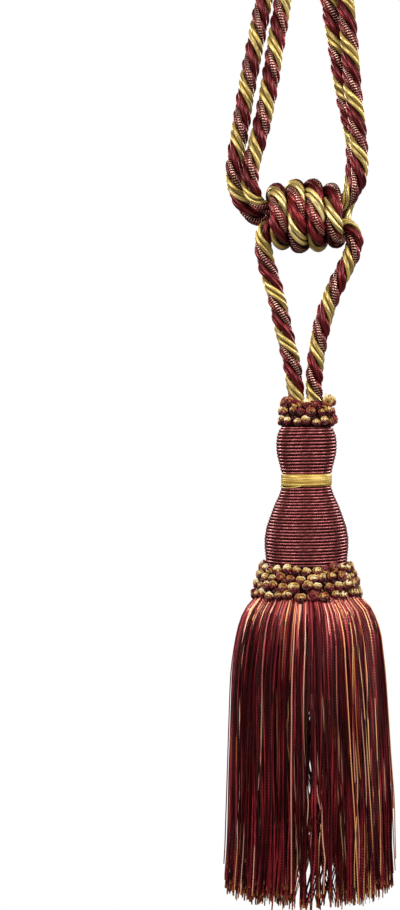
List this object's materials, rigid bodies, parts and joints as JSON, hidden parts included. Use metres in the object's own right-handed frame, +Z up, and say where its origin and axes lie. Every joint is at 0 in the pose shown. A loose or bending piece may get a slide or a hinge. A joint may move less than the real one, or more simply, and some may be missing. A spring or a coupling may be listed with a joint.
{
  "type": "curtain tieback tassel",
  "caption": "Hanging curtain tieback: a twisted rope looped twice over a hook and coiled in a knot, with a wound tassel head, two knotted ruffs, a waist band and a long cut skirt.",
  "frame": {"origin": "underside of the inner rope loop at its top, where a hook bears", "axes": "+Z up along the hanging tassel, -Y towards the front, +X to the viewer's right"},
  "size_m": [0.092, 0.092, 0.5014],
  "materials": {
    "rope": "satin rayon plies in burgundy and gold, one with copper cross wraps",
    "winding": "burgundy satin cord wound in close turns",
    "band": "gold satin threads",
    "ruff": "small knots of gold and burgundy thread",
    "skirt": "glossy burgundy strands with gold and peach ones among them"
  },
  "bodies": {
    "root": {"tie_rope": "rope", "wound_head": "winding", "waist_band": "band", "top_ruff": "ruff", "bottom_ruff": "ruff", "skirt": "skirt"}
  },
  "joints": []
}
